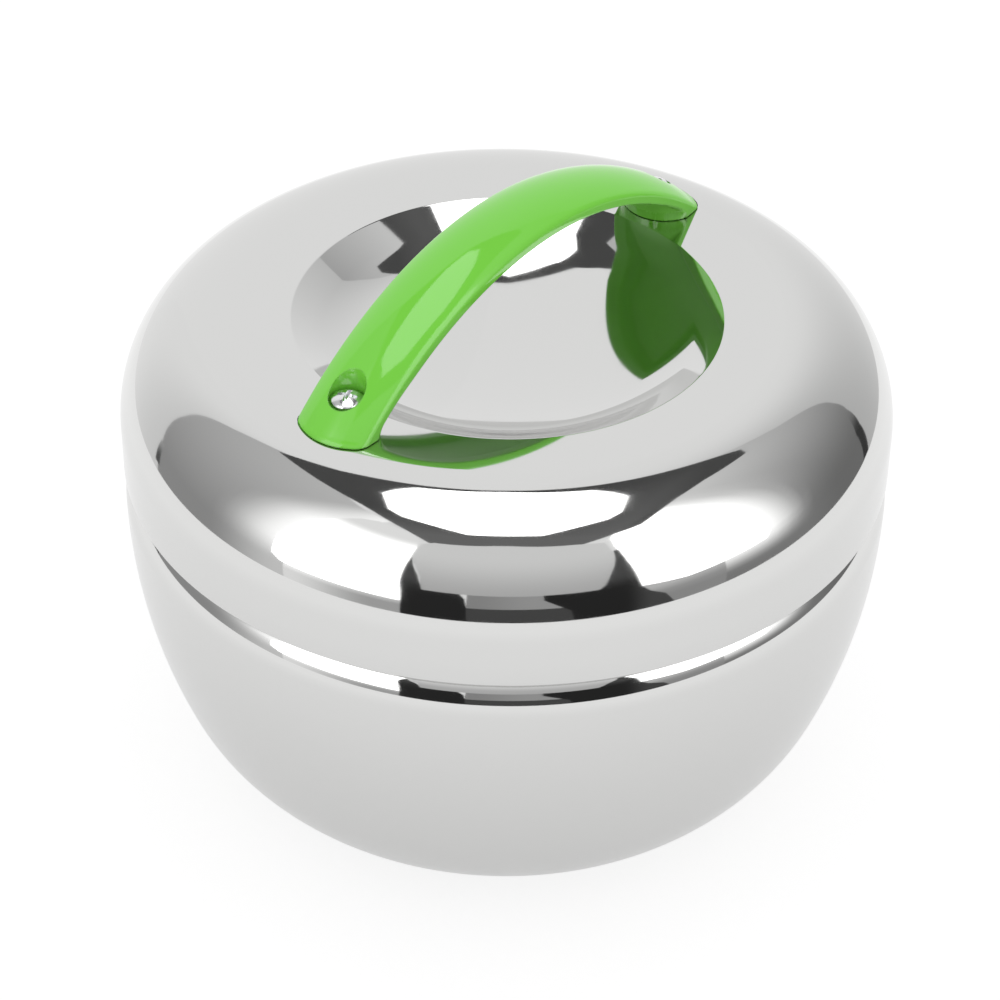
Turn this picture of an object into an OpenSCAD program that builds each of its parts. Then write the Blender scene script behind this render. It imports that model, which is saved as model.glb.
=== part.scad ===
// Round insulated lunch box: a mirror-polished steel bowl and a domed twist-off lid,
// both double-walled with foam between, and a plastic carrying handle on the lid.
// Millimetres. The origin is the middle of the base, +Z is up, the handle lies along X.

/* [Bowl outside] */
// Widest outside radius of the bowl
body_r = 85; // [80:0.5:95]
// Height of the ledge that the lid closes on, above the floor
body_h = 80.3; // [76:0.1:90]
// Radius of the ledge's outer edge
edge_r = 3.5; // [2:0.1:4.5]
// Radius of the round shoulder below that edge
shoulder_r = 12; // [8:0.5:16]
// Part of the turn from wall to ledge that the shoulder takes, in degrees
shoulder_turn = 30; // [20:1:40]
// Radius of the long upper side of the bowl
side_r = 133; // [120:1:160]
// Slope at which the side runs into the belly, in degrees
side_turn = 20.6; // [18:0.1:24]
// Radius of the belly
belly_r = 43.6; // [40:0.1:46]
// Slope at which the belly runs into the heel, in degrees
belly_turn = 49.9; // [46:0.1:54]
// Thickness of the steel sheet
sheet_t = 0.6; // [0.4:0.05:0.8]

/* [Food bowl and mouth] */
// Inside radius of the food bowl
food_r = 69.4; // [66:0.2:70]
// Radius of the food bowl's bottom corner
food_corner_r = 33; // [24:1:40]
// Foam thickness under the food bowl
floor_foam_t = 11; // [8:0.5:16]
// Height of the plastic mouth ring above the ledge
collar_h = 12.4; // [11.5:0.1:15]
// Thickness of the mouth ring's wall
collar_t = 3.4; // [3:0.1:3.6]
// Thickness of the foot with which the mouth ring rests on the ledge
collar_foot_t = 1.6; // [1.2:0.1:2]
// Depth of the spigot that locates the mouth ring in the steel mouth
spigot_h = 6; // [4:0.5:9]

/* [Lid outside] */
// Outside radius of the lid
lid_r = 85; // [80:0.5:95]
// Gap that shows between the bowl's ledge and the lid's lower edge
lid_gap = 0.7; // [0.5:0.1:1.2]
// Height of the lid's upright wall
lid_wall_h = 11; // [9:0.1:14]
// Radius of the lid's shoulder
lid_shoulder_r = 24; // [22:0.1:28]
// Slope at which the crown falls from the shoulder's top to the rim of the dish, in degrees
crown_slope = 4; // [2:0.5:6]
// Radius of the rim where the dished middle begins
rim_r = 47; // [44:0.5:50]
// Depth of the dished middle
dish_depth = 11.8; // [9:0.1:12.5]
// Slope of the dish's side below the rim, in degrees
dish_slope = 30.2; // [28:0.1:34]
// Radius of the fillet between the dish's side and its round floor
dish_fillet_r = 36; // [24:1:40]
// Slope at which the floor runs into that fillet, in degrees
floor_turn = 16.2; // [14:0.1:20]
// Width of the hem turned in at the lid's lower edge
hem_w = 1.8; // [1.2:0.1:2.4]

/* [Lid inside] */
// Thickness of the liner's wall and plate
liner_t = 2; // [1.6:0.1:2.4]
// Thickness of the liner's outer flange
liner_flange_t = 1.6; // [1.2:0.1:2]
// Thickness of the silicone seal
seal_h = 3; // [2.4:0.1:3.6]
// Radial width of the seal
seal_w = 3.6; // [3:0.1:4.2]
// Depth of the groove that holds the seal
groove_d = 1.2; // [0.8:0.1:1.6]
// Outside radius of the two screw bosses
boss_r = 4.5; // [4:0.1:6]
// Height to which each boss is bored
boss_bore_h = 11; // [8:0.5:12]

/* [Thread] */
// Number of thread starts
thread_starts = 4; // [3:1:4]
// Rise of the lid in one full turn
thread_lead = 24; // [20:1:28]
// Height of a thread ridge out of its wall
thread_d = 1.5; // [1.2:0.1:1.8]
// Width of a ridge at its foot
thread_w = 2.4; // [2:0.1:2.6]
// Length of each ridge around the mouth ring, in degrees
collar_thread_arc = 84; // [60:4:88]
// Length of each ridge around the liner, in degrees
liner_thread_arc = 40; // [30:4:60]
// Clearance between ridge and wall, all round
thread_gap = 0.45; // [0.35:0.05:0.6]

/* [Handle] */
// Radius of the arch, on top
arch_r = 92.5; // [90:0.5:98]
// Height of the arch's top above the lid's lower edge
arch_h = 60.4; // [59:0.1:63]
// Width of the strap
strap_w = 18; // [16:0.1:18.5]
// Thickness of the strap in its middle
strap_t = 5; // [4.8:0.1:6]
// Fall of the strap's top from its middle to its sides
strap_crown = 2; // [1:0.1:2.2]
// Radius along the strap's upper sides
strap_round = 1.8; // [1:0.1:2]
// Depth of the hollow along the strap's underside
strap_hollow = 1.4; // [0.8:0.1:2]
// Width of the rims left beside that hollow
strap_rim_w = 2.4; // [2:0.1:3]
// Thickness of each foot at its end, where the strap runs out
foot_end_t = 1.3; // [0.8:0.1:1.6]
// Distance of the feet's ends from the lid's middle
foot_end_x = 63.2; // [62:0.1:65]
// Radius of each foot's rounded end
foot_end_r = 13; // [12:0.5:20]
// Radius of the corners where that end meets the sides
foot_corner_r = 3.5; // [2:0.25:4]
// Thickness of the rubber pad under each foot
pad_t = 0.5; // [0.4:0.1:1]
// Distance by which the pad stays inside the foot's outline
pad_inset = 0.8; // [0.5:0.1:1.2]

/* [Handle screws] */
// Distance of each screw from the lid's middle
screw_x = 53.8; // [53:0.1:55]
// Height of the screw's seat above the lid's lower edge
screw_seat_h = 39.4; // [38.8:0.1:39.8]
// Radius of the screw's head
head_r = 3.25; // [3:0.05:3.4]
// Height of the screw's head
head_h = 2.6; // [2.3:0.1:2.8]
// Radius of the screw's shank
shank_r = 1.75; // [1.5:0.05:2]
// Length of the screw under its head
shank_l = 13; // [12:0.5:14]
// Radius of the sunk hole over the head
sink_r = 3.95; // [3.8:0.05:4.2]
// Width of the arms of the cross in the head
cross_w = 1.1; // [0.9:0.1:1.3]
// Length of the arms of the cross, end to end
cross_l = 4.2; // [3.6:0.1:4.8]
// Height of the upright side of the head, under its dome
head_side_h = 1.2; // [0.8:0.1:1.4]
// Depth of the cross
cross_d = 1.4; // [1:0.1:1.6]

/* [Hidden] */
$fn = 96;

// Clearance where one piece drops into another
seat_gap = 0.1;
// Radial clearance of a screw in its hole, and of the screw in the boss
hole_gap = 0.3;
bite_gap = 0.05;
// Clearance in height between the closed lid's ridges and those they hook under
hold_gap = 0.2;
// Overlap that makes two joined shapes one solid, and reach of a cut past a surface
weld = 0.5;
// Steps on each arc of an outline, and on the short arcs of the strap's section
steps = 14;
short_steps = 6;

// Heights that follow from the sizes above
lid_z = body_h + lid_gap;
collar_top = body_h + collar_h;
flange_top = collar_top + sheet_t;
seal_top = flange_top + seal_h;
plate_z = seal_top - groove_d;
plate_top = plate_z + liner_t + groove_d;
food_z = sheet_t + floor_foam_t + sheet_t;

// Radii that follow from them
bowl_out = food_r + sheet_t;
collar_in = bowl_out + seat_gap;
collar_out = collar_in + collar_t;
mouth_r = collar_out - collar_foot_t;
seal_in = food_r + seat_gap;
seal_out = seal_in + seal_w;
liner_in = collar_out + thread_d + thread_gap;
liner_out = liner_in + liner_t;
liner_flange_r = lid_r - sheet_t - seat_gap;

// Heights at which the thread ridges start. A liner ridge lies under a mouth ring ridge, lower by
// their half widths at the height where they overlap.
liner_thread_a0 = (360 / thread_starts - liner_thread_arc) / 2;
collar_thread_z = body_h + collar_foot_t + thread_w / 2 + thread_gap;
hook_drop = thread_w - thread_w / 4 * (thread_d + thread_gap) / thread_d + hold_gap;
liner_thread_z = collar_thread_z + thread_lead * liner_thread_a0 / 360 - hook_drop;

colour_steel = [0.82, 0.83, 0.84];
colour_inner_steel = [0.72, 0.73, 0.74];
colour_foam = [0.93, 0.90, 0.80];
colour_plastic = [0.93, 0.93, 0.91];
colour_green = [0.47, 0.80, 0.29];
colour_rubber = [0.12, 0.14, 0.12];
colour_zinc = [0.78, 0.79, 0.80];
colour_seal = [0.86, 0.88, 0.90];

// Points of an arc, from one angle to the other
function arc(c, r, a0, a1, n = steps) =
    [for (i = [0:n]) let (a = a0 + (a1 - a0) * i / n) c + r * [cos(a), sin(a)]];

// All points but the first
function rest(list) = [for (i = [1:len(list) - 1]) list[i]];

// The same points in the other order
function back(list) = [for (i = [len(list) - 1:-1:0]) list[i]];

// Outline of the bowl: ledge edge, shoulder, side, belly and heel, each an arc that runs
// smoothly into the next. The heel is as round as it must be to meet the floor level.
function down(turn) = [cos(turn), -sin(turn)];
wide_z = body_h - shoulder_r * sin(shoulder_turn) - edge_r * (1 - sin(shoulder_turn));
shoulder_c = [body_r - shoulder_r, wide_z];
edge_c = shoulder_c + (shoulder_r - edge_r) * down(-shoulder_turn);
side_c = [body_r - side_r, wide_z];
belly_c = side_c + (side_r - belly_r) * down(side_turn);
belly_end = belly_c + belly_r * down(belly_turn);
heel_r = belly_end[1] / (1 - sin(belly_turn));
heel_c = belly_end - heel_r * down(belly_turn);

// The bowl's outline, drawn inwards by t
function bowl_line(t) = concat(
    arc(edge_c, edge_r - t, 90, shoulder_turn),
    rest(arc(shoulder_c, shoulder_r - t, shoulder_turn, 0)),
    rest(arc(side_c, side_r - t, 0, -side_turn)),
    rest(arc(belly_c, belly_r - t, -side_turn, -belly_turn)),
    rest(arc(heel_c, heel_r - t, -belly_turn, -90))
);

// Outline of the lid: wall, shoulder, sloping crown, rim, and a dish with a straight side, a fillet
// and a round floor. The floor is as round as it must be to give the dish its depth.
function out(slope) = [-sin(slope), cos(slope)];
lid_shoulder_c = [lid_r - lid_shoulder_r, lid_z + lid_wall_h];
crown_start = lid_shoulder_c + lid_shoulder_r * out(crown_slope);
function crown_z(x) = crown_start[1] - (crown_start[0] - x) * tan(crown_slope);
rim_z = crown_z(rim_r);
dish_z = rim_z - dish_depth;
rim_mitre = (out(crown_slope) + out(dish_slope)) / (1 + out(crown_slope) * out(dish_slope));
fillet_fall = cos(floor_turn) - cos(dish_slope) - (sin(dish_slope) - sin(floor_turn)) * tan(dish_slope);
floor_fall = 1 - cos(floor_turn) - sin(floor_turn) * tan(dish_slope);
floor_r = (dish_depth - rim_r * tan(dish_slope) - dish_fillet_r * fillet_fall) / floor_fall;
floor_c = [0, dish_z + floor_r];
fillet_c = floor_c - (floor_r - dish_fillet_r) * out(floor_turn);

// The lid's outline above its wall, drawn inwards by t
function lid_line(t) = concat(
    arc(lid_shoulder_c, lid_shoulder_r - t, 0, 90 + crown_slope, 2 * steps),
    [[rim_r, rim_z] - t * rim_mitre],
    arc(fillet_c, dish_fillet_r + t, dish_slope - 90, floor_turn - 90, short_steps),
    rest(arc(floor_c, floor_r + t, floor_turn - 90, -90))
);

// Turned solid from an outline of [radius, height] points
module turned(points) {
    rotate_extrude() polygon(points);
}

// Ring between two radii and two heights
module ring(r_in, r_out, z0, z1) {
    turned([[r_in, z0], [r_out, z0], [r_out, z1], [r_in, z1]]);
}

// One thread ridge that climbs from the angle a0 and the height z0. Its foot is sunk into the
// wall at radius r, and side is 1 for a ridge that stands outwards and -1 for one that stands in.
// It takes a step each thread_step degrees, and its ends taper to thread_nose of its height.
thread_step = 6;
thread_taper = 2;
thread_nose = 0.2;
module ridge(r, side, a0, arc_len, z0) {
    n = round(arc_len / thread_step);
    foot = thread_w / 2;
    crest = thread_w / 4;
    rings = [for (i = [0:n])
        let (
            a = a0 + arc_len * i / n,
            z = z0 + thread_lead * (a - a0) / 360,
            grow = min(1, thread_nose + i / thread_taper, thread_nose + (n - i) / thread_taper),
            r0 = r - side * weld,
            r1 = r + side * thread_d * grow,
            section = [[r0, z - foot], [r1, z - crest], [r1, z + crest], [r0, z + foot]]
        )
        for (p = section) [p[0] * cos(a), p[0] * sin(a), p[1]]];
    walls = [for (i = [0:n - 1]) for (k = [0:3])
        let (p = 4 * i + k, q = 4 * i + (k + 1) % 4)
        each [[p, q, q + 4], [p, q + 4, p + 4]]];
    last = 4 * n;
    caps = [[0, 2, 1], [0, 3, 2], [last, last + 1, last + 2], [last, last + 2, last + 3]];
    faces = concat(walls, caps);
    polyhedron(rings, side > 0 ? faces : [for (f = faces) [f[0], f[2], f[1]]]);
}

// Outer steel of the bowl, pressed in one piece, with a turned-in ledge and a flat base
module body_shell() {
    color(colour_steel) turned(concat(
        [[mouth_r, body_h]],
        bowl_line(0),
        [[0, 0], [0, sheet_t]],
        back(bowl_line(sheet_t)),
        [[mouth_r, body_h - sheet_t]]
    ));
}

// Food bowl: one deep-drawn steel bowl whose flange lies on the mouth ring
food_corner_c = [food_r - food_corner_r, food_z + food_corner_r];
function food_line(t) = arc(food_corner_c, food_corner_r + t, 0, -90);
flange_r = collar_out - seat_gap;
module food_bowl() {
    color(colour_inner_steel) turned(concat(
        [[food_r, flange_top], [flange_r, flange_top], [flange_r, collar_top], [bowl_out, collar_top]],
        food_line(sheet_t),
        [[0, food_z - sheet_t], [0, food_z]],
        back(food_line(0))
    ));
}

// Foam that fills the space between the two bowls
module body_foam() {
    foam_top = body_h - spigot_h - seat_gap;
    color(colour_foam) difference() {
        intersection() {
            turned(concat([[0, body_h]], bowl_line(sheet_t + seat_gap), [[0, sheet_t + seat_gap]]));
            ring(0, body_r, 0, foam_top);
        }
        turned(concat([[0, collar_top], [bowl_out + seat_gap, collar_top]],
            food_line(sheet_t + seat_gap), [[0, food_z - sheet_t - seat_gap]]));
    }
}

// Plastic mouth ring: it closes the bowl's double wall and carries the outer thread
module mouth_ring() {
    color(colour_plastic) {
        turned([
            [collar_in, body_h - spigot_h],
            [mouth_r - seat_gap, body_h - spigot_h],
            [mouth_r - seat_gap, body_h],
            [collar_out + thread_d, body_h],
            [collar_out + thread_d, body_h + collar_foot_t],
            [collar_out, body_h + collar_foot_t],
            [collar_out, collar_top],
            [collar_in, collar_top]
        ]);
        for (k = [0:thread_starts - 1])
            ridge(collar_out, 1, 360 * k / thread_starts, collar_thread_arc, collar_thread_z);
    }
}

// Outer steel of the lid, with its lower edge hemmed in under the liner's flange
module lid_shell() {
    hem_c = [lid_r - sheet_t, lid_z + sheet_t];
    color(colour_steel) difference() {
        turned(concat(
            [[lid_r - hem_w, lid_z]],
            arc(hem_c, sheet_t, -90, 0, 4),
            lid_line(0),
            [[0, dish_z], [0, dish_z - sheet_t]],
            back(lid_line(sheet_t)),
            [[lid_r - sheet_t, lid_z + sheet_t], [lid_r - hem_w, lid_z + sheet_t]]
        ));
        screw_holes(shank_r + hole_gap, dish_z - sheet_t, rim_z + dish_depth);
    }
}

// Upright holes at the two handle screws
module screw_holes(r, z0, z1) {
    for (side = [-1, 1])
        translate([side * screw_x, 0, z0]) cylinder(r = r, h = z1 - z0);
}

// Foam between the lid's steel and its liner
module lid_foam() {
    gap = sheet_t + seat_gap;
    flange_z = lid_z + sheet_t + liner_flange_t + seat_gap;
    color(colour_foam) difference() {
        turned(concat(
            [[0, plate_top + seat_gap], [liner_out + seat_gap, plate_top + seat_gap],
             [liner_out + seat_gap, flange_z], [lid_r - gap, flange_z]],
            lid_line(gap),
            [[0, dish_z - gap]]
        ));
        screw_holes(boss_r + seat_gap, plate_top, rim_z + dish_depth);
    }
}

// Plastic liner of the lid: the plate over the food, the wall with the inner thread, the flange
// that the steel is hemmed round, and the two bosses that hold the handle's screws
module lid_liner() {
    flange_z = lid_z + sheet_t;
    boss_top = crown_z(screw_x) - sheet_t - seat_gap;
    color(colour_plastic) difference() {
        union() {
            turned([
                [0, plate_z], [liner_in, plate_z], [liner_in, flange_z],
                [liner_flange_r, flange_z], [liner_flange_r, flange_z + liner_flange_t],
                [liner_out, flange_z + liner_flange_t], [liner_out, plate_top], [0, plate_top]
            ]);
            for (side = [-1, 1])
                translate([side * screw_x, 0, plate_top - weld])
                    cylinder(r = boss_r, h = boss_top - plate_top + weld);
            for (k = [0:thread_starts - 1])
                ridge(liner_in, -1, 360 * k / thread_starts + liner_thread_a0,
                    liner_thread_arc, liner_thread_z);
        }
        ring(seal_in - seat_gap, seal_out + seat_gap, plate_z - weld, seal_top);
        screw_holes(shank_r + bite_gap, boss_top - boss_bore_h, boss_top + weld);
    }
}

// Silicone seal between the liner and the food bowl's flange
module lid_seal() {
    color(colour_seal) ring(seal_in, seal_out, flange_top, seal_top);
}

// Outline of both feet and the strap seen from above, drawn inwards by t
foot_end_c = foot_end_x - foot_end_r;
corner_y = strap_w / 2 - foot_corner_r;
corner_x = foot_end_c + sqrt(pow(foot_end_r - foot_corner_r, 2) - corner_y * corner_y);
corner_turn = atan2(corner_y, corner_x - foot_end_c);
function end_outline(t) = concat(
    arc([corner_x, -corner_y], foot_corner_r - t, -90, -corner_turn, short_steps),
    rest(arc([foot_end_c, 0], foot_end_r - t, -corner_turn, corner_turn)),
    rest(arc([corner_x, corner_y], foot_corner_r - t, corner_turn, 90, short_steps))
);
module strap_outline(t) {
    half = end_outline(t);
    polygon(concat(half, [for (p = half) -p]));
}

// Round ring that shapes the undersides of the feet, raised by t. It touches the lid's crest and
// keeps just above the crown beside it.
bed_r = 100;
module foot_bed(t) {
    rotate_extrude() intersection() {
        translate(lid_shoulder_c + [0, lid_shoulder_r - bed_r]) circle(r = bed_r + t, $fn = 240);
        translate([rim_r, lid_z]) square([lid_r - rim_r, arch_h]);
    }
}

// The lid's crown, as a ring that the pads are cut to
module lid_crown() {
    turned(concat(
        [[rim_r, lid_z]],
        arc(lid_shoulder_c, lid_shoulder_r, 0, 90 + crown_slope, 2 * steps),
        [[rim_r, rim_z]]
    ));
}

// Where the block under each end of the strap stands on the lid
module foot_blocks(t, z0, z1) {
    for (side = [-1, 1])
        translate([side * foot_block_x, 0, z0]) cylinder(r = foot_block_r - t, h = z1 - z0);
}

// Handle: an arched strap with a crowned top and a shallow hollow below. Each end runs down into
// a solid foot, shaped to the lid, with a sunk hole for its screw.
arch_c = lid_z + arch_h - arch_r;
arch_half_turn = 50;
foot_block_r = 10.2;
foot_block_x = 59.2;
foot_block_deep = 15;
strap_side = strap_w / 2;
strap_low = arch_r - strap_t;
crown_turn = 2 * atan(strap_crown / strap_side);
strap_top_r = strap_side / sin(crown_turn);
strap_top_c = arch_r - strap_top_r;
round_y = strap_side - strap_round;
round_r_c = strap_top_c + sqrt(pow(strap_top_r - strap_round, 2) - round_y * round_y);
round_turn = atan2(round_r_c - strap_top_c, round_y);

// The strap's top line from side to side, as [radius from the arch's axis, side] points
function half_top_line() = concat(
    [for (p = arc([0, strap_top_c], strap_top_r, 90, round_turn)) [p[1], p[0]]],
    rest([for (p = arc([round_y, round_r_c], strap_round, round_turn, 0, short_steps)) [p[1], p[0]]])
);
function flip(list) = [for (p = list) [p[0], -p[1]]];
function top_line() = concat(flip(back(half_top_line())), rest(half_top_line()));

// Sector of a solid turned about the arch's axis, from [radius, side] points
module arched(points) {
    translate([0, 0, arch_c]) rotate([90, 0, 0]) rotate([0, 0, 90 - arch_half_turn])
        rotate_extrude(angle = 2 * arch_half_turn) polygon(points);
}

// Strap outline raised from below the lid to above the arch
module strap_column(t) {
    translate([0, 0, dish_z - dish_depth]) linear_extrude(arch_h) strap_outline(t);
}
module handle() {
    hollow_y = strap_side - strap_rim_w;
    hollow_r = strap_low + strap_hollow;
    sink_top = lid_z + arch_h;
    side_trim = 0.02;
    foot_section = concat(top_line(), [
        [arch_r - foot_block_deep, strap_side], [arch_r - foot_block_deep, -strap_side]
    ]);
    color(colour_green) difference() {
        intersection() {
            union() {
                arched(concat(top_line(), [
                    [strap_low, strap_side], [strap_low, hollow_y], [hollow_r, hollow_y - strap_hollow],
                    [hollow_r, strap_hollow - hollow_y], [strap_low, -hollow_y], [strap_low, -strap_side]
                ]));
                intersection() {
                    union() {
                        arched(foot_section);
                        foot_bed(pad_t + foot_end_t);
                    }
                    foot_blocks(0, dish_z, sink_top);
                }
            }
            strap_column(side_trim);
        }
        foot_bed(pad_t);
        screw_holes(shank_r + hole_gap, dish_z, sink_top);
        screw_holes(sink_r, lid_z + screw_seat_h, sink_top);
    }
}

// Thin rubber pad under each foot, shaped to the lid
module handle_foot_pads() {
    color(colour_rubber) difference() {
        intersection() {
            foot_blocks(pad_inset, dish_z, lid_z + arch_h);
            strap_column(pad_inset);
            foot_bed(pad_t);
        }
        lid_crown();
        screw_holes(shank_r + hole_gap, dish_z, lid_z + arch_h);
    }
}

// Two pan-head screws with a cross recess, driven into the liner's bosses
module handle_screws() {
    dome_h = head_h - head_side_h;
    dome_r = (head_r * head_r + dome_h * dome_h) / (2 * dome_h);
    color(colour_zinc) for (side = [-1, 1]) translate([side * screw_x, 0, lid_z + screw_seat_h]) {
        difference() {
            intersection() {
                cylinder(r = head_r, h = head_h);
                translate([0, 0, head_h - dome_r]) sphere(r = dome_r);
            }
            for (a = [0, 90]) rotate([0, 0, a])
                translate([-cross_l / 2, -cross_w / 2, head_h - cross_d])
                    cube([cross_l, cross_w, cross_d + weld]);
        }
        translate([0, 0, -shank_l]) cylinder(r = shank_r, h = shank_l);
    }
}

body_shell();
body_foam();
food_bowl();
mouth_ring();
lid_shell();
lid_foam();
lid_liner();
lid_seal();
handle();
handle_foot_pads();
handle_screws();
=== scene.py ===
import math

import bmesh
import bpy
from mathutils import Matrix, Quaternion, Vector


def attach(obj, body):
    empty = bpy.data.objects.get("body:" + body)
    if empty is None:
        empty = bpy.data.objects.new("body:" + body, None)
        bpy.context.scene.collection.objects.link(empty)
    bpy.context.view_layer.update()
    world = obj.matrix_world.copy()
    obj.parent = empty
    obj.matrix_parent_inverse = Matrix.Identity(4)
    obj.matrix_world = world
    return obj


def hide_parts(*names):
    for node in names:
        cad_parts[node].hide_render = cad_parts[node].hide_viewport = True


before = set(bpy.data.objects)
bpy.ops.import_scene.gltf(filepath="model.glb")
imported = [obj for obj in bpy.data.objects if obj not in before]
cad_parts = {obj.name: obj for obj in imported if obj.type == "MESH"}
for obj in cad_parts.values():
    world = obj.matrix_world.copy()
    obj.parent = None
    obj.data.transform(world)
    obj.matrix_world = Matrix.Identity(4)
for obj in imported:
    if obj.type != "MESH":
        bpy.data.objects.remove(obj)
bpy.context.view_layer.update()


# Camera: the photographed view, from 68 cm away and 37 degrees above the table. The handle lies
# along X, and the camera looks past it from its near left end.
TURN, RISE, ROLL = math.radians(-52.72), math.radians(37.19), math.radians(0.72)
DISTANCE, AIM_RIGHT, AIM_HEIGHT = 0.68, -0.00121, 0.06374
back = Vector((math.sin(TURN) * math.cos(RISE), -math.cos(TURN) * math.cos(RISE), math.sin(RISE)))
right = Vector((math.cos(TURN), math.sin(TURN), 0))
camera = bpy.data.objects.new("camera", bpy.data.cameras.new("camera"))
bpy.context.scene.collection.objects.link(camera)
camera.location = right * AIM_RIGHT + Vector((0, 0, AIM_HEIGHT)) + back * DISTANCE
camera.rotation_mode = "QUATERNION"
camera.rotation_quaternion = (-back).to_track_quat("-Z", "Y") @ Quaternion((0, 0, 1), ROLL)
camera.data.sensor_width = 36
camera.data.lens = 107.84
camera.data.clip_start = 0.05
bpy.context.scene.camera = camera
bpy.context.scene.view_settings.view_transform = "Standard"


# Studio: a white table under a plain soft sky. Only mirrored rays see more, because the polished
# steel shows the whole room: a pale backdrop behind, grey walls, a softbox overhead in its dark
# frame, one at each side, and a grey panel in front with black stands under it.
def linear(colour):
    """A colour written as an sRGB hex value, made linear."""
    parts = [int(colour[i:i + 2], 16) / 255 for i in (0, 2, 4)]
    return [p / 12.92 if p <= 0.04045 else ((p + 0.055) / 1.055) ** 2.4 for p in parts] + [1]


def add(tree, kind, settings=None, links=None):
    """Adds a node to a node tree. Settings are its own or its sockets', links go to its sockets."""
    made = tree.nodes.new(kind)
    for key, value in (settings or {}).items():
        if isinstance(key, str) and hasattr(made, key):
            setattr(made, key, value)
        else:
            made.inputs[key].default_value = value
    for key, source in (links or {}).items():
        tree.links.new(source, made.inputs[key])
    return made


def ease(value):
    """A smooth step from 0 to 1 while the value goes from 0 to 1."""
    t = min(max(value, 0), 1)
    return t * t * (3 - 2 * t)


world = bpy.data.worlds.new("studio")
bpy.context.scene.world = world
world.use_nodes = True
sky = world.node_tree
sky.nodes.clear()
rays = add(sky, "ShaderNodeLightPath")
# The steel throws less of the sky on to matt surfaces than it shows the camera
falling = add(sky, "ShaderNodeMath",
              {"operation": "MULTIPLY_ADD", "use_clamp": True, 1: -0.45, 2: 0.97},
              {0: rays.outputs["Diffuse Depth"]})
backdrop = add(sky, "ShaderNodeBackground", {"Color": (1, 1, 1, 1)},
               {"Strength": falling.outputs[0]})
white = add(sky, "ShaderNodeBackground", {"Color": (1, 1, 1, 1), "Strength": 1.0})
shown = add(sky, "ShaderNodeMixShader", {},
            {0: rays.outputs["Is Glossy Ray"], 1: white.outputs[0], 2: backdrop.outputs[0]})
add(sky, "ShaderNodeOutputWorld", {}, {0: shown.outputs[0]})

# Studio cards: each point gives off the light that is written on it, and matt surfaces get less
paint = bpy.data.materials.new("studio_card")
paint.use_nodes = True
tree = paint.node_tree
tree.nodes.clear()
written = add(tree, "ShaderNodeAttribute", {"attribute_name": "light"})
rays = add(tree, "ShaderNodeLightPath")
falling = add(tree, "ShaderNodeMath",
              {"operation": "MULTIPLY_ADD", "use_clamp": True, 1: -0.7, 2: 1},
              {0: rays.outputs["Diffuse Depth"]})
power = add(tree, "ShaderNodeMath", {"operation": "MULTIPLY"},
            {0: written.outputs["Fac"], 1: falling.outputs[0]})
glow = add(tree, "ShaderNodeEmission", {"Color": (1, 1, 1, 1)}, {"Strength": power.outputs[0]})
add(tree, "ShaderNodeOutputMaterial", {}, {0: glow.outputs[0]})
# Directions and distances of the cards are taken from the front of the lid
toward = Vector((math.sin(TURN), -math.cos(TURN), 0))
BOX = toward * 0.05 + Vector((0, 0, 0.1))


def show(name, bm):
    """Makes a studio card of a bmesh: only glossy rays see it."""
    mesh = bpy.data.meshes.new(name)
    bm.to_mesh(mesh)
    bm.free()
    made = bpy.data.objects.new(name, mesh)
    bpy.context.scene.collection.objects.link(made)
    mesh.materials.append(paint)
    made.visible_camera = made.visible_diffuse = made.visible_shadow = False


def card(name, away, light, rows):
    """A card round the box, from rows of (elevation, left azimuth, right azimuth) in degrees. The
    camera's side is azimuth 0 and its right hand +90. Light is a brightness by azimuth and
    elevation."""
    bm = bmesh.new()
    last = len(rows) - 1
    bmesh.ops.create_grid(bm, x_segments=16, y_segments=5 * last, size=0.5)
    layer = bm.verts.layers.float.new("light")
    for vert in bm.verts:
        place = (vert.co.y + 0.5) * last
        i = min(int(place + 1e-4), last - 1)
        low, left, far = (a + (b - a) * (place - i) for a, b in zip(rows[i], rows[i + 1]))
        side = left + (far - left) * (vert.co.x + 0.5)
        vert[layer] = light(side, low)
        a, e = math.radians(side), math.radians(low)
        level = toward * math.cos(a) + right * math.sin(a)
        vert.co = BOX + (level * math.cos(e) + Vector((0, 0, math.sin(e)))) * away
    show(name, bm)


def ceiling(name, height, light, outline):
    """A flat card overhead, from points (right, towards the camera) on a ceiling at height 1."""
    bm = bmesh.new()
    layer = bm.verts.layers.float.new("light")
    up = Vector((0, 0, 1))
    corners = [bm.verts.new(BOX + (right * x + toward * y + up) * height) for x, y in outline]
    for vert, (x, y) in zip(corners, outline):
        vert[layer] = light(x, y)
    bm.faces.new(corners)
    show(name, bm)


# Walls: dark grey, lighter high up, and bright beside the softboxes
card("wall_left", 12, lambda a, e: 0.33 * (1 + 0.8 * max(e, 0) / 60)
     + 1.1 * ease((a + 88) / 26) * (0.35 + 0.65 * ease((e + 5) / 25))
     * (1 - 0.4 * ease((e - 40) / 20)),
     [(-16, -111, -60), (0, -112, -60), (25, -120, -60), (45, -130, -60), (55, -138, -60),
      (62, -145, -60), (66, -150, -60)])
card("wall_right", 12,
     lambda a, e: (0.19 + 0.06 * ease((106 - a) / 20)) * (1 + 2.6 * (max(e, 0) / 55) ** 1.6)
     + 1.4 * ease((94 - a) / 20) * ease((e + 8) / 20),
     [(-16, 60, 118), (0, 60, 118), (25, 60, 128), (45, 60, 139), (55, 60, 149),
      (62, 60, 156), (66, 60, 160)])
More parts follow.
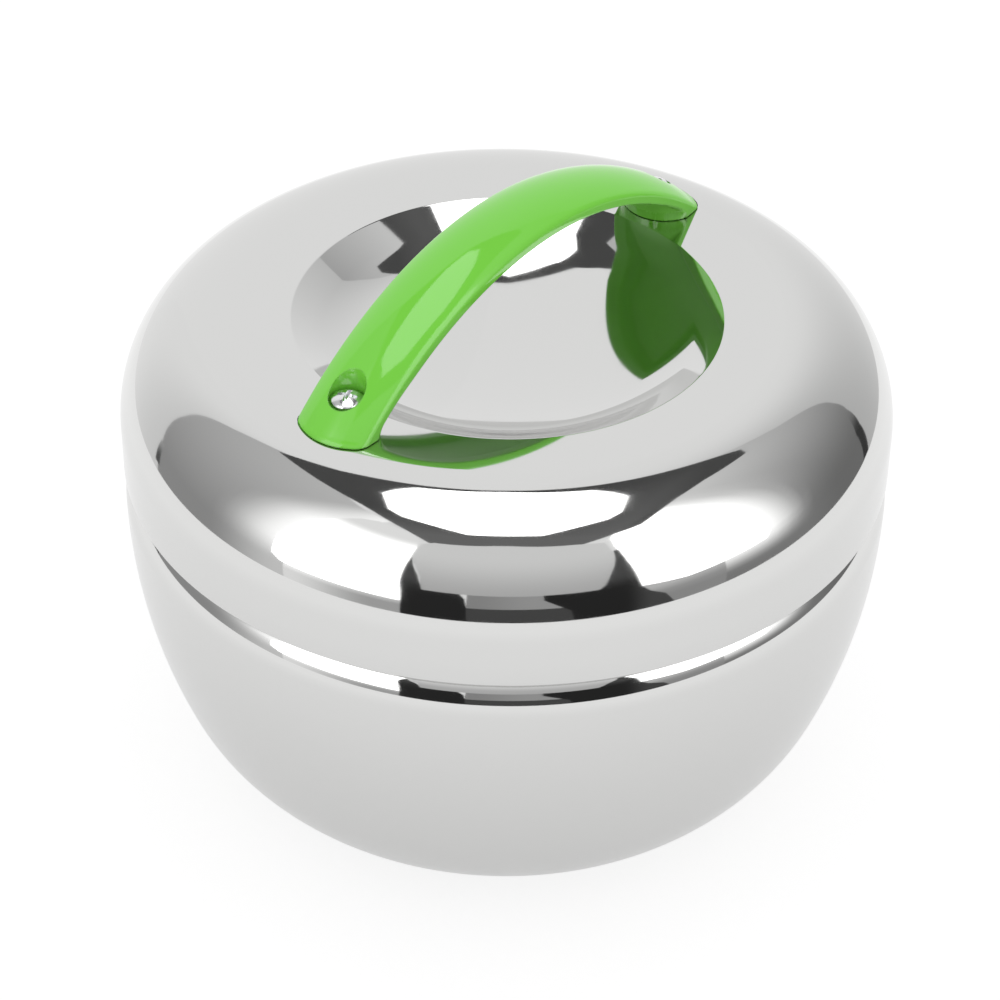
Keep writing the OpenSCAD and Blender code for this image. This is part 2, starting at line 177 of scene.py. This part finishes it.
# Backdrop: pale, darker towards its ends, with a dark edge and a fold low down
card("backdrop_right", 12.4, lambda a, e: 0.56 + 0.4 * ease((a - 118) / 56),
     [(-16, 110, 176), (30, 110, 176), (62, 110, 176)])
card("backdrop_left", 12.4, lambda a, e: 0.96 - 0.2 * ease((a + 145) / 34),
     [(-16, -150, -105), (30, -150, -105), (62, -150, -105)])
card("backdrop_edge", 11.8, lambda a, e: 0.05 + 0.2 * ease((e - 3) / 12),
     [(-12, 117.5, 121), (3, 118, 121.5), (15, 122, 124)])
card("backdrop_fold", 11.8, lambda a, e: 0.1 + 0.3 * ease((e + 5) / 8),
     [(-9, -113, -110.5), (3, -113.5, -111.5)])
# Room floor under the side softboxes
card("floor_left", 11.7, lambda a, e: 0.45 + 0.5 * ease((-34 - a) / 26) + 0.4 * ease((e + 6) / 6),
     [(-16, -61, -20), (1, -61, -20)])
card("floor_right", 11.7, lambda a, e: 0.33 + 0.3 * ease((e + 4) / 10),
     [(-16, 36, 61), (9, 36, 61)])
# Softboxes at the sides and overhead, the last in its dark frame
card("softbox_left", 11.5, lambda a, e: 3 - 2 * ease((e - 42) / 14),
     [(-1.5, -62, -27.5), (2, -65, -27.6), (13, -66, -28.5), (38, -67, -30), (50, -67, -31.5),
      (60, -66, -36), (63, -62, -44)])
card("softbox_right", 11.5, lambda a, e: 3,
     [(5, 50, 75), (8.5, 37, 77), (20, 37, 79), (34, 37.3, 80), (43, 38.3, 82), (50, 39.5, 84),
      (57, 43, 84), (60.5, 48, 80)])
ceiling("frame", 9.4, lambda x, y: 0.17 if y > 0.3 else 0.08,
        [(0.33, 0.56), (0.42, 0.4), (0.5, 0.25), (0.49, -0.1), (0.51, -0.3), (0.6, -0.6),
         (0.36, -0.625), (0, -0.635), (-0.3, -0.52), (-0.52, -0.52), (-0.48, -0.26), (-0.42, 0),
         (-0.39, 0.23), (-0.36, 0.38), (-0.33, 0.56)])
ceiling("softbox_top", 9.3, lambda x, y: 3,
        [(0.13, 0.335), (0.31, 0.1), (0.325, 0), (0.265, -0.27), (0.14, -0.51), (0, -0.59),
         (-0.14, -0.51), (-0.265, -0.27), (-0.325, 0), (-0.31, 0.1), (-0.13, 0.335)])
# Grey panel in front, and the black stands under it and beside it
card("panel", 8.5, lambda a, e: 0.53 + 0.27 * ease((e - 10) / 40),
     [(12.6, -22.4, 25.8), (16, -22.8, 27.5), (25, -24, 29.8), (34, -27, 33), (40, -29.5, 35),
      (46, -31, 36.5), (55, -32, 39), (58, -29, 29), (61.5, -3, 3)])
card("panel_foot", 8.6, lambda a, e: 0.3 + 0.08 * ease((a + 9) / 18),
     [(-0.5, -10, 18), (13, -10, 14)])
card("stand_low", 8.6, lambda a, e: 0.075, [(-16, -12, 20), (-0.5, -12, 20)])
card("stand_left", 8.4, lambda a, e: 0.025 + 0.05 * ease((e - 8) / 16),
     [(-14.5, -27.6, -10), (0, -27.2, -10), (8, -27.4, -10.5), (12.7, -28, -12)])
card("stand_left_top", 8.4, lambda a, e: 0.03 + 0.04 * ease((e - 12) / 12),
     [(12.6, -28, -22.3), (16, -28.6, -22.8), (25, -29.2, -24.6), (34, -29.6, -27.6),
      (41, -29.8, -29.7)])
card("stand_right", 8.4, lambda a, e: 0.024 + 0.05 * ease((a - 32) / 8),
     [(-15, 18.5, 46), (-4, 17.5, 43), (2, 14, 39), (8, 10.5, 37), (12.8, 10.5, 36.6)])
card("stand_right_top", 8.4, lambda a, e: 0.03 + 0.05 * ease((e - 12) / 12),
     [(12.6, 25.5, 36.5), (16, 27.5, 36.6), (25, 30, 36.8), (34, 33.2, 37.3), (40, 35.2, 37.9),
      (46, 37, 38.9)])

# Table top: matt white paper, on which the camera sees the box's soft shadow
FLOOR_RADIUS, FLOOR_SET_BACK = 0.5, 0.04
floor_mesh = bpy.data.meshes.new("floor")
bm = bmesh.new()
bmesh.ops.create_circle(bm, cap_ends=True, radius=FLOOR_RADIUS, segments=96,
                        matrix=Matrix.Translation(toward * -FLOOR_SET_BACK))
bm.to_mesh(floor_mesh)
bm.free()
floor = bpy.data.objects.new("floor", floor_mesh)
bpy.context.scene.collection.objects.link(floor)
paper = bpy.data.materials.new("white_paper")
paper.use_nodes = True
tree = paper.node_tree
tree.nodes.clear()
rays = add(tree, "ShaderNodeLightPath")
matt = add(tree, "ShaderNodeBsdfDiffuse", {"Color": linear("E4E4E4")})
place = add(tree, "ShaderNodeTexCoord")
away = add(tree, "ShaderNodeVectorMath", {"operation": "LENGTH"}, {0: place.outputs["Object"]})
# Painted shade: mirrored rays see the floor's glow fall towards the box, over the last 20 cm
painted_shade = add(tree, "ShaderNodeMapRange",
           {"From Min": 0.08, "From Max": 0.28, "To Min": 0.34, "To Max": 0.58},
           {"Value": away.outputs["Value"]})
mirrored = add(tree, "ShaderNodeMath", {"operation": "MULTIPLY"},
               {0: rays.outputs["Is Glossy Ray"], 1: painted_shade.outputs[0]})
lit = add(tree, "ShaderNodeMath", {"operation": "MULTIPLY_ADD", 1: 0.62},
          {0: rays.outputs["Is Camera Ray"], 2: mirrored.outputs[0]})
bright = add(tree, "ShaderNodeEmission", {"Color": (1, 1, 1, 1), "Strength": 1.25})
both = add(tree, "ShaderNodeMixShader", {},
           {0: lit.outputs[0], 1: matt.outputs[0], 2: bright.outputs[0]})
add(tree, "ShaderNodeOutputMaterial", {}, {0: both.outputs[0]})
floor_mesh.materials.append(paper)


# Bowl, outside: one deep-drawn shell of stainless steel sheet, polished to a mirror on a buffing
# wheel as it turns. Its mouth is turned in to a ledge, and its belly runs down to a small flat
# base.
def arc(bm, point, centre, degrees, steps):
    """Draws an arc from a vertex, in the plane of X and Z, and returns the vertex at its end."""
    made = bmesh.ops.spin(bm, geom=[point], cent=centre, axis=(0, 1, 0),
                          angle=math.radians(-degrees), steps=steps)
    return [g for g in made["geom_last"] if isinstance(g, bmesh.types.BMVert)][0]


def line(bm, point, to):
    """Draws a straight edge from a vertex."""
    end = bm.verts.new(to)
    bm.edges.new((point, end))
    return end


def turn_round(bm, steps):
    """Turns the outline that was drawn round Z into a closed skin with its faces outwards."""
    bmesh.ops.spin(bm, geom=bm.verts[:] + bm.edges[:], cent=(0, 0, 0), axis=(0, 0, 1),
                   angle=2 * math.pi, steps=steps, use_merge=True)
    bmesh.ops.remove_doubles(bm, verts=bm.verts, dist=1e-6)
    bmesh.ops.dissolve_degenerate(bm, edges=bm.edges, dist=1e-7)
    bmesh.ops.recalc_face_normals(bm, faces=bm.faces)


def piece(name, bm, material, body, node):
    """Makes a piece from a bmesh: smooth, with its material, and riding on its body."""
    mesh = bpy.data.meshes.new(name)
    bm.to_mesh(mesh)
    bm.free()
    for face in mesh.polygons:
        face.use_smooth = True
    made = bpy.data.objects.new(name, mesh)
    bpy.context.scene.collection.objects.link(made)
    mesh.materials.append(material)
    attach(made, body)
    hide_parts(node)
    return made


def steel_finish(name, colour, roughness, waviness):
    """Bare or plated steel: a mirror as clear as it is smooth, with a faint ripple and smears."""
    made = bpy.data.materials.new(name)
    made.use_nodes = True
    tree = made.node_tree
    shader = tree.nodes["Principled BSDF"]
    shader.inputs["Metallic"].default_value = 1
    shader.inputs["Base Color"].default_value = linear(colour)
    place = add(tree, "ShaderNodeTexCoord").outputs["Object"]
    # Ripple of the drawn sheet, about 25 mm from crest to crest
    ripple = add(tree, "ShaderNodeTexNoise",
                 {"Scale": 40, "Detail": 2, "Roughness": 0.4}, {0: place})
    # Smears left by the buffing compound, 8 mm across
    smear = add(tree, "ShaderNodeTexNoise",
                {"Scale": 120, "Detail": 4, "Roughness": 0.6}, {0: place})
    spread = add(tree, "ShaderNodeMapRange",
                 {"From Min": 0.35, "From Max": 0.75,
                  "To Min": roughness, "To Max": roughness * 1.8},
                 {"Value": smear.outputs[0]})
    bump = add(tree, "ShaderNodeBump", {"Strength": 1, "Distance": waviness},
               {"Height": ripple.outputs[0]})
    tree.links.new(spread.outputs[0], shader.inputs["Roughness"])
    tree.links.new(bump.outputs[0], shader.inputs["Normal"])
    return made


def beside(centre, radius, degrees):
    """The point at a radius and an angle above the level from a centre, in the plane of X and Z."""
    a = math.radians(degrees)
    return Vector((centre[0] + radius * math.cos(a), 0, centre[2] + radius * math.sin(a)))


# Thickness of the sheet, and steps of a turn round
SHEET, AROUND = 0.0006, 300
# Greatest radius and height of the bowl, and radii of its mouth and its flat base
OUTER, TOP, MOUTH, FLAT = 0.085, 0.0803, 0.0719, 0.02
# Radii of the outline's arcs from the top down, and the slopes at which they meet, in degrees
EDGE, SHOULDER, SHOULDER_TURN = 0.0035, 0.012, 30
FLANK, FLANK_TURN, BELLY, BELLY_TURN = 0.133, 20.6, 0.0436, 49.9
# Buffed to a mirror that shows the whole room, a little softened
mirror_steel = steel_finish("mirror_polished_stainless_steel", "D9D9D8", 0.035, 0.000012)
lean = math.sin(math.radians(SHOULDER_TURN))
wide = TOP - SHOULDER * lean - EDGE * (1 - lean)
shoulder_centre = Vector((OUTER - SHOULDER, 0, wide))
edge_centre = beside(shoulder_centre, SHOULDER - EDGE, SHOULDER_TURN)
flank_centre = Vector((OUTER - FLANK, 0, wide))
belly_centre = beside(flank_centre, FLANK - BELLY, -FLANK_TURN)
belly_end = beside(belly_centre, BELLY, -BELLY_TURN)
heel = belly_end.z / (1 - math.sin(math.radians(BELLY_TURN)))
heel_centre = beside(belly_end, heel, 180 - BELLY_TURN)
bm = bmesh.new()
point = bm.verts.new((MOUTH, 0, TOP))
point = line(bm, point, (edge_centre.x, 0, TOP))
point = arc(bm, point, edge_centre, -(90 - SHOULDER_TURN), 14)
point = arc(bm, point, shoulder_centre, -SHOULDER_TURN, 14)
point = arc(bm, point, flank_centre, -FLANK_TURN, 24)
point = arc(bm, point, belly_centre, -(BELLY_TURN - FLANK_TURN), 16)
point = arc(bm, point, heel_centre, -(90 - BELLY_TURN), 16)
point = line(bm, point, (FLAT, 0, 0))
point = line(bm, point, (0, 0, 0))
turn_round(bm, AROUND)
bmesh.ops.solidify(bm, geom=bm.faces[:], thickness=SHEET)
piece("bowl_shell", bm, mirror_steel, "base", "body_shell")


# Lid, outside: a second shell of the same sheet. It has an upright wall, a round shoulder, a crown
# that falls towards a tight rim, and a deep dished middle, and its lower edge is folded to a hem.
# Height of the lower edge, width of the hem, and height of the wall
LID, HEM, WALL = 0.081, 0.0018, 0.011
LID_SHOULDER, CROWN_SLOPE = 0.024, 4
RIM, RIM_ROUND, DISH_SLOPE = 0.047, 0.001, 30.2
DISH_FLOOR, DISH_RADIUS, FLOOR_TURN, DISH_FILLET = 0.10328, 0.1167, 16.2, 0.036


def onward(point, degrees, to_x):
    """The point straight on from a point, at a slope, where X is as given."""
    return Vector((to_x, 0, point[2] + (to_x - point[0]) * math.tan(math.radians(degrees))))


lid_shoulder_centre = Vector((OUTER - LID_SHOULDER, 0, LID + WALL))
crown_start = beside(lid_shoulder_centre, LID_SHOULDER, 90 + CROWN_SLOPE)
rim = onward(crown_start, CROWN_SLOPE, RIM)
rim_setback = RIM_ROUND * math.tan(math.radians(DISH_SLOPE - CROWN_SLOPE) / 2)
rim_inner = beside(rim, -rim_setback, DISH_SLOPE)
rim_centre = beside(rim_inner, -RIM_ROUND, 90 + DISH_SLOPE)
floor_centre = Vector((0, 0, DISH_FLOOR + DISH_RADIUS))
fillet_centre = beside(floor_centre, DISH_RADIUS - DISH_FILLET, FLOOR_TURN - 90)
bm = bmesh.new()
point = bm.verts.new((0, 0, DISH_FLOOR))
point = arc(bm, point, floor_centre, FLOOR_TURN, 30)
point = arc(bm, point, fillet_centre, DISH_SLOPE - FLOOR_TURN, 16)
point = line(bm, point, rim_inner)
point = arc(bm, point, rim_centre, CROWN_SLOPE - DISH_SLOPE, 6)
point = line(bm, point, crown_start)
point = arc(bm, point, lid_shoulder_centre, -90 - CROWN_SLOPE, 56)
point = line(bm, point, (OUTER, 0, LID + WALL / 2))
point = line(bm, point, (OUTER, 0, LID + SHEET))
point = arc(bm, point, (OUTER - SHEET, 0, LID + SHEET), -90, 6)
point = line(bm, point, (OUTER - HEM, 0, LID))
turn_round(bm, AROUND)
bmesh.ops.solidify(bm, geom=bm.faces[:], thickness=SHEET)
piece("lid_dome", bm, mirror_steel, "lid", "lid_shell")


# Handle: an arched strap of glossy light green ABS, moulded in one piece, crowned on top and
# channelled below. Each end runs into a solid foot that is shaped to the lid, with a sunk hole for
# its screw. It is drawn as a grid, placed by the heights of top and underside in millimetres.
ARCH, ARCH_CENTRE, THICKNESS, SIDE, CROWN = 92.5, 48.9, 5.3, 9, 15.5
# Its rounded ends, and the corners where they meet its sides
END_CENTRE, END, CORNER = 50.2, 13, 3.5
CORNER_X = END_CENTRE + math.sqrt((END - CORNER) ** 2 - (SIDE - CORNER) ** 2)
CORNER_TURN = math.atan2(SIDE - CORNER, CORNER_X - END_CENTRE)
# Place and radius of the foot, the layer above its pad, and the width of its blend with the strap
FOOT_X, FOOT, FOOT_END, BLEND = 59.2, 10, 0.1, 1
# Rounding of the top edge, and the least thickness left there
TOP_EDGE, THINNEST = 0.8, 0.01
# The foot's lower edge comes down round the pad in a lip
PAD, LIP, LIP_WIDTH, LIP_RUN = 0.5, 0.12, 0.25, 0.4
# The channel fades out towards the feet, and the foot's fillet towards the strap's sides
HOLLOW, HOLLOW_SIDE, HOLLOW_END, HOLLOW_RUN = 1.4, 6.6, 50, 12
FILLET, SIDE_FILLET, FILLET_SIDE, FILLET_RUN = 6, 1, 8.5, 5
# Radii of the lower edge: round the foot, along the strap, and what is added beside the foot
FOOT_EDGE, LOW_EDGE, MORE_EDGE, MORE_FROM, MORE_RUN = 0.25, 0.35, 0.6, 2, 8
# Points this close to the foot's round wall are moved on to it, but not so near the strap's side
NEAR_WALL, NEAR_SIDE = 0.25, 0.3


def plastic(name, colour, roughness, rounding=0, shine=0.5):
    """Moulded plastic: one colour through, with the faint unevenness of a cooled surface."""
    made = bpy.data.materials.new(name)
    made.use_nodes = True
    tree = made.node_tree
    shader = tree.nodes["Principled BSDF"]
    shader.inputs["Base Color"].default_value = linear(colour)
    shader.inputs["Roughness"].default_value = roughness
    shader.inputs["Specular IOR Level"].default_value = shine
    place = add(tree, "ShaderNodeTexCoord")
    # Sink and flow marks about 6 mm across, a few microns deep
    marks = add(tree, "ShaderNodeTexNoise", {"Scale": 160, "Detail": 2},
                {0: place.outputs["Object"]})
    bump = add(tree, "ShaderNodeBump", {"Strength": 1, "Distance": 0.00001},
               {"Height": marks.outputs[0]})
    if rounding:
        # Cut edges are rounded by a fraction of a millimetre
        soft = add(tree, "ShaderNodeBevel", {"samples": 3, "Radius": rounding})
        tree.links.new(soft.outputs[0], bump.inputs["Normal"])
    tree.links.new(bump.outputs[0], shader.inputs["Normal"])
    return made


def end_x(y):
    """How far the strap's outline reaches along X, at a distance from its middle line."""
    if abs(y) < END * math.sin(CORNER_TURN):
        return END_CENTRE + math.sqrt(END ** 2 - y ** 2)
    return CORNER_X + math.sqrt(max(CORNER ** 2 - (abs(y) - SIDE + CORNER) ** 2, 0))


def inset(x, y):
    """Distance of a point inside the strap's outline, seen from above."""
    x, y = abs(x), abs(y)
    if x < CORNER_X:
        return SIDE - y
    if math.atan2(y, x - END_CENTRE) < CORNER_TURN:
        return END - math.hypot(x - END_CENTRE, y)
    return CORNER - math.hypot(x - CORNER_X, y - SIDE + CORNER)


def edge(distance, radius):
    """How much a rounded edge takes off at a distance from it."""
    d = min(max(distance, 0), radius)
    return radius - math.sqrt(radius ** 2 - (radius - d) ** 2)


def crown_height(x, y):
    """Height of the lid's crown, and of its shoulder farther out."""
    r = math.hypot(x, y)
    start = crown_start * 1000
    if r < start.x:
        return start.z - (start.x - r) * math.tan(math.radians(CROWN_SLOPE))
    crest = (OUTER - LID_SHOULDER) * 1000
    return lid_shoulder_centre.z * 1000 + math.sqrt((LID_SHOULDER * 1000) ** 2 - (r - crest) ** 2)


def top_height(x, y):
    """Height of the handle's top: the crowned strap, or the foot's end where that is higher."""
    dip = CROWN - math.sqrt(CROWN ** 2 - y ** 2)
    strap = ARCH_CENTRE + math.sqrt((ARCH - dip) ** 2 - x ** 2)
    foot = crown_height(x, y) + PAD + FOOT_END
    blend = max(BLEND - abs(strap - foot), 0)
    top = max(strap, foot) + blend ** 2 / (4 * BLEND) - edge(inset(x, y), TOP_EDGE)
    return max(top, low_height(x, y) + THINNEST)


def low_height(x, y):
    """Height of the underside: the foot's bed, its fillet, and the channelled strap beyond."""
    beyond = math.hypot(abs(x) - FOOT_X, y) - FOOT
    within = ease((min(inset(x, y), -beyond) - LIP_WIDTH) / LIP_RUN)
    bed = crown_height(x, y) + LIP + (PAD - LIP) * within
    channel = HOLLOW * ease((HOLLOW_SIDE - abs(y)) / HOLLOW)
    channel *= ease((HOLLOW_END - abs(x)) / HOLLOW_RUN)
    fillet = SIDE_FILLET + (FILLET - SIDE_FILLET) * ease((FILLET_SIDE - abs(y)) / FILLET_RUN)
    strap = ARCH_CENTRE + math.sqrt((ARCH - THICKNESS) ** 2 - x ** 2) + channel
    t = min(max(beyond / fillet, 0), 1)
    low_edge = FOOT_EDGE
    if beyond > 0:
        low_edge = LOW_EDGE + MORE_EDGE * ease(1 - (beyond - MORE_FROM) / MORE_RUN)
    return bed + (strap - bed) * math.sqrt(2 * t - t * t) + edge(inset(x, y), low_edge)


bm = bmesh.new()
bmesh.ops.create_grid(bm, x_segments=360, y_segments=64, size=1)
raised = bmesh.ops.extrude_face_region(bm, geom=bm.faces[:], use_keep_orig=True)["geom"]
raised = {g for g in raised if isinstance(g, bmesh.types.BMVert)}
for vert in bm.verts:
    y = SIDE * math.sin(vert.co.y * math.pi / 2)
    x = end_x(y) * math.sin(vert.co.x * math.pi / 2)
    if vert in raised:
        vert.co = Vector((x, y, top_height(x, y))) / 1000
        continue
    reach = math.hypot(abs(x) - FOOT_X, y)
    if abs(reach - FOOT) < NEAR_WALL and inset(x, y) > NEAR_SIDE:
        x = math.copysign(FOOT_X + (abs(x) - FOOT_X) * FOOT / reach, x)
        y = y * FOOT / reach
    vert.co = Vector((x, y, low_height(x, y))) / 1000
bmesh.ops.recalc_face_normals(bm, faces=bm.faces)
# The polished mould leaves a sharp, wet-looking gloss
GREEN = "7AD247"
glossy_green = plastic("glossy_green_abs", GREEN, 0.06, rounding=0.0004)
handle = piece("handle_strap", bm, glossy_green, "lid", "handle")


def cut(target, bm):
    """Cuts the solid that a bmesh holds out of a piece."""
    mesh = bpy.data.meshes.new("cutter")
    bm.to_mesh(mesh)
    bm.free()
    cutter = bpy.data.objects.new("cutter", mesh)
    bpy.context.scene.collection.objects.link(cutter)
    hole = target.modifiers.new("hole", "BOOLEAN")
    hole.object = cutter
    hole.operation = "DIFFERENCE"
    hole.solver = "EXACT"
    bpy.context.view_layer.update()
    seen = target.evaluated_get(bpy.context.evaluated_depsgraph_get())
    done = bpy.data.meshes.new_from_object(seen)
    target.modifiers.clear()
    target.data = done
    bpy.data.objects.remove(cutter)
    bpy.data.meshes.remove(mesh)


SCREW_X, SEAT = 0.0538, 0.1204
# A sunk hole down to the seat of the screw's head, and a hole for its shank through the foot
SUNK_HOLE, SCREW_HOLE = 0.00395, 0.00205
for radius, low, high in ((SUNK_HOLE, SEAT, 0.14), (SCREW_HOLE, 0.11, 0.13)):
    bm = bmesh.new()
    for side in (-1, 1):
        bmesh.ops.create_cone(bm, cap_ends=True, segments=96, radius1=radius, radius2=radius,
                              depth=high - low,
                              matrix=Matrix.Translation((side * SCREW_X, 0, (low + high) / 2)))
    cut(handle, bm)
handle.data.set_sharp_from_angle(angle=math.radians(40))
# The underside comes from an unpolished half of the mould: the same plastic with a dull skin
DOWNWARD = -0.3
handle.data.materials.append(plastic("dull_green_abs", GREEN, 0.4, shine=0.3))
for face in handle.data.polygons:
    if face.normal.z < DOWNWARD:
        face.material_index = 1


# Handle screws: steel pan-head screws with a cross recess, plated with bright zinc. Each holds one
# foot of the handle to the lid, with its head in the sunk hole.
HEAD, HEAD_ROUND, HEAD_TURN, HEAD_EDGE = 0.0024, 0.006, 32, 0.0006
SHANK, SHANK_LENGTH, TIP = 0.00175, 0.012, 0.001
RECESS, ARM, ARM_LENGTH, BAR = 0.0012, 0.0009, 0.00165, 0.003
# Plating after forming leaves a bright metal that shows only blurred images
zinc = steel_finish("bright_zinc_plating", "E6E7E8", 0.12, 0.00001)
# Each was turned home to its own angle
for side, name, spin in ((-1, "handle_screw_near", 20), (1, "handle_screw_far", 65)):
    bm = bmesh.new()
    point = bm.verts.new((0, 0, SEAT + HEAD))
    point = arc(bm, point, (0, 0, SEAT + HEAD - HEAD_ROUND), -HEAD_TURN, 8)
    point = arc(bm, point, beside(point.co, -HEAD_EDGE, 90 - HEAD_TURN), HEAD_TURN - 90, 5)
    point = line(bm, point, (point.co.x, 0, SEAT))
    point = line(bm, point, (SHANK, 0, SEAT))
    point = line(bm, point, (SHANK, 0, SEAT - SHANK_LENGTH))
    point = line(bm, point, (0, 0, SEAT - SHANK_LENGTH - TIP))
    # In 60 steps no spoke of the head runs through a corner of the recess
    turn_round(bm, 60)
    screw = piece(name, bm, zinc, "lid", "handle_screws")
    # The recess: four arms drawn out of a square bar
    bm = bmesh.new()
    place = Matrix.Translation((0, 0, SEAT + HEAD - RECESS + BAR / 2))
    bmesh.ops.create_cube(bm, size=1, matrix=place @ Matrix.Diagonal((ARM, ARM, BAR, 1)))
    bm.normal_update()
    sides = [face for face in bm.faces if abs(face.normal.z) < 0.5]
    for face in bmesh.ops.extrude_discrete_faces(bm, faces=sides)["faces"]:
        face.normal_update()
        bmesh.ops.translate(bm, verts=face.verts, vec=face.normal * ARM_LENGTH)
    bmesh.ops.recalc_face_normals(bm, faces=bm.faces)
    cut(screw, bm)
    screw.data.transform(Matrix.Translation((side * SCREW_X, 0, 0))
                         @ Matrix.Rotation(math.radians(spin), 4, "Z"))
    screw.data.set_sharp_from_angle(angle=math.radians(35))


# Foot pads: black rubber, punched from thin sheet and laid between foot and lid. Only a dark line
# of them shows, because the foot's edge comes down round them. That line is also painted shade:
# the nearly black sheet stands in for the contact shade under each foot.
def repaint(node, material):
    """Gives a CAD node's object one material."""
    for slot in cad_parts[node].material_slots:
        slot.material = material


# Nearly black, with hardly any highlight: the rubber's colour, and painted shade under the feet
repaint("handle_foot_pads", plastic("black_rubber_and_painted_shade", "1E221E", 0.6))


# Food bowl: one deep-drawn bowl of stainless steel, with a fine satin finish. It hangs by its
# flange over the mouth ring.
# The satin shows light and shade but no images
repaint("food_bowl", steel_finish("satin_stainless_steel", "C4C5C6", 0.3, 0.00001))


# Mouth ring, lid liner and seal: off-white injection-moulded polypropylene with a four-start thread
# between ring and liner, and a soft silicone ring pressed into the liner's groove.
# Two parts from a fine-grained mould, with an even soft sheen
white_plastic = plastic("white_polypropylene", "ECECE6", 0.42)
repaint("mouth_ring", white_plastic)
repaint("lid_liner", white_plastic)
# Smooth, with a soft broad highlight
repaint("lid_seal", plastic("silicone_rubber", "DCE0E2", 0.4))


# Foam: rigid cream-coloured polyurethane, blown between the two bowls and between the lid's steel
# and its liner. It is shut in, out of sight.
# Matt all over
foam = plastic("polyurethane_foam", "EDE3C4", 0.9)
repaint("body_foam", foam)
repaint("lid_foam", foam)
